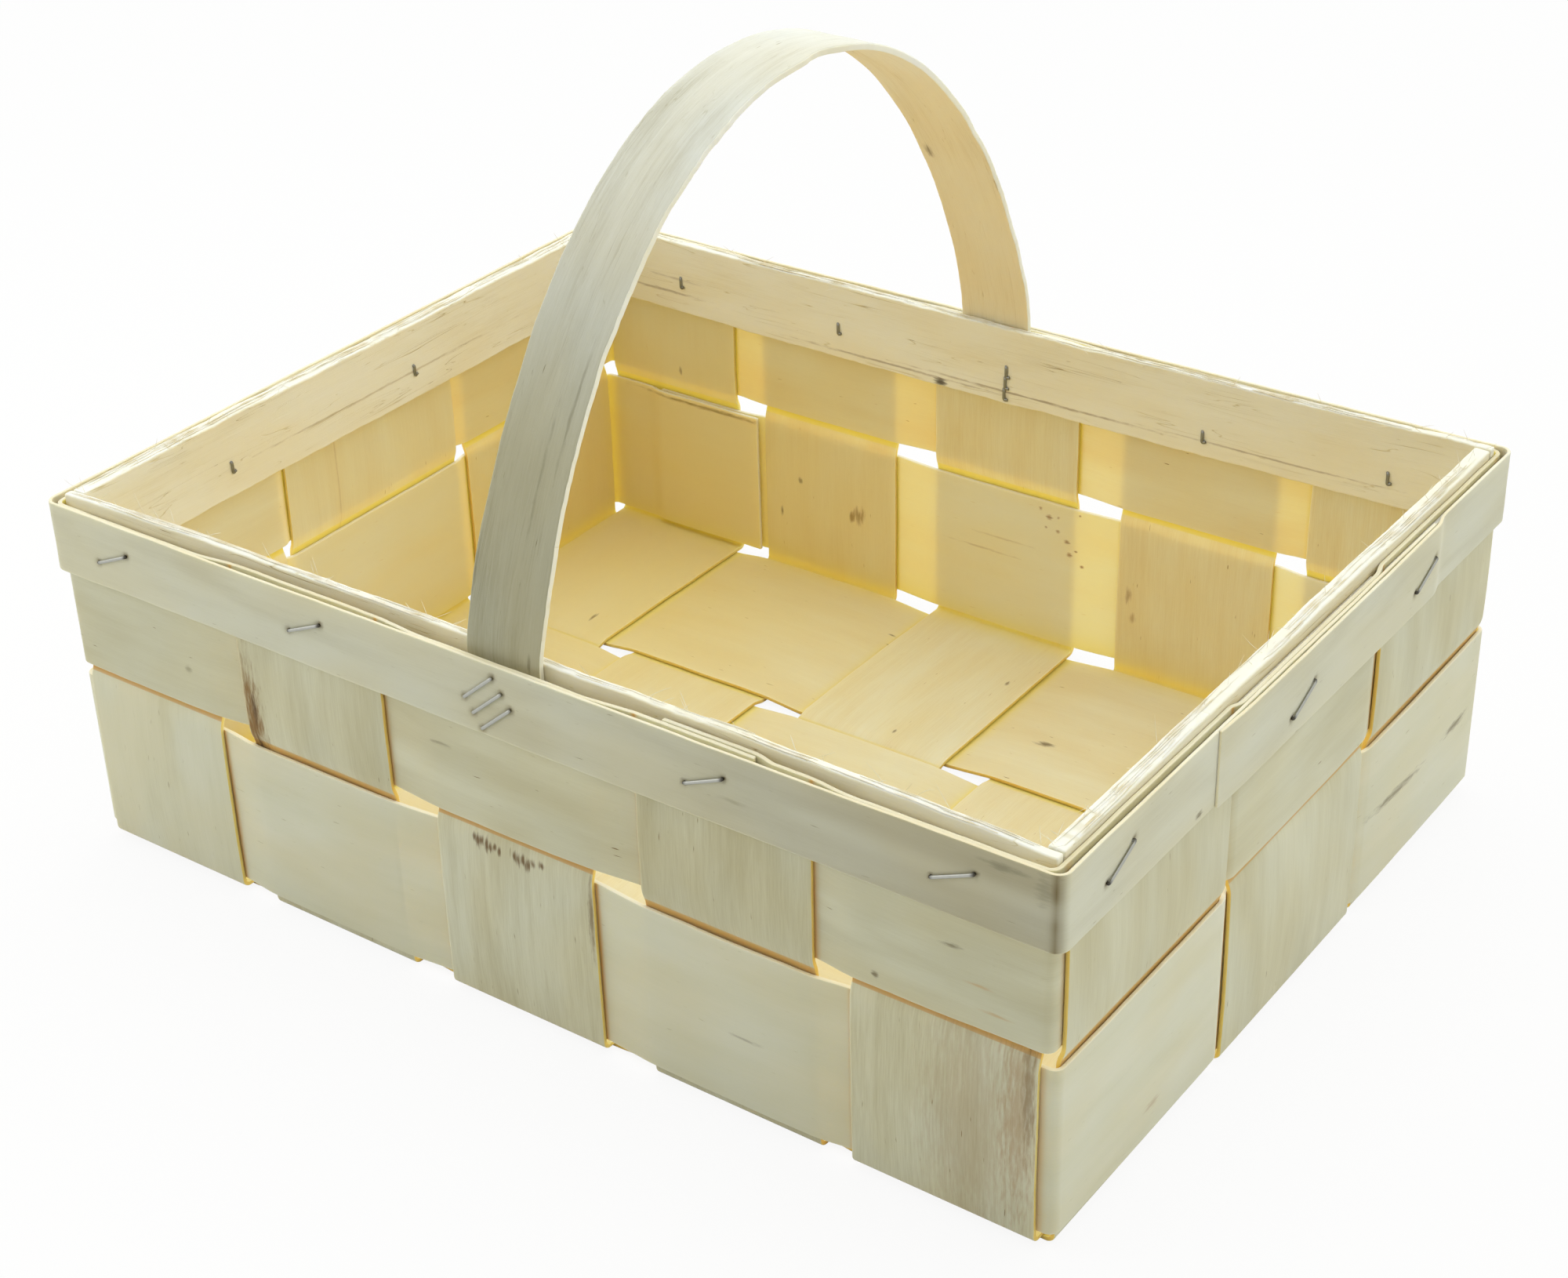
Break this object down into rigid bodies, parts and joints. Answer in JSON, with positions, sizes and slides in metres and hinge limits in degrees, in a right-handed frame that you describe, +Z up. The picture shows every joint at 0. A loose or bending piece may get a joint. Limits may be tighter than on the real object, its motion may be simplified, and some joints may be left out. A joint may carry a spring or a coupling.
{
  "type": "bow handle basket",
  "caption": "Shallow rectangular basket woven from broad flat wood splints, with a stapled slat rim and a fixed bow handle across its middle for carrying.",
  "frame": {"origin": "on the underside of the floor, midway between the rim's outer faces, on the plane the basket stands on", "axes": "+X along the rim's long side, -Y towards the front wall, +Z up"},
  "size_m": [0.3032, 0.228, 0.2131],
  "materials": {
    "splint": "bare peeled veneer",
    "weaver": "bare peeled veneer",
    "band": "bare thin veneer",
    "slat": "bare sawn wood",
    "handle": "bare split wood",
    "staple": "dull steel wire"
  },
  "bodies": {
    "root": {"cross_splint_1": "splint", "cross_splint_2": "splint", "cross_splint_3": "splint", "cross_splint_4": "splint", "cross_splint_5": "splint", "long_splint_1": "splint", "long_splint_2": "splint", "long_splint_3": "splint", "lower_weaver": "weaver", "upper_weaver": "weaver", "rim_band": "band", "front_slat": "slat", "back_slat": "slat", "left_slat": "slat", "right_slat": "slat", "bow_handle": "handle", "staple_front_1": "staple", "staple_front_2": "staple", "staple_front_3": "staple", "staple_front_4": "staple", "staple_handle_front_1": "staple", "staple_handle_front_2": "staple", "staple_handle_front_3": "staple", "staple_back_1": "staple", "staple_back_2": "staple", "staple_back_3": "staple", "staple_back_4": "staple", "staple_handle_back_1": "staple", "staple_handle_back_2": "staple", "staple_handle_back_3": "staple", "staple_right_1": "staple", "staple_right_2": "staple", "staple_right_3": "staple", "staple_left_1": "staple", "staple_left_2": "staple", "staple_left_3": "staple"}
  },
  "joints": []
}
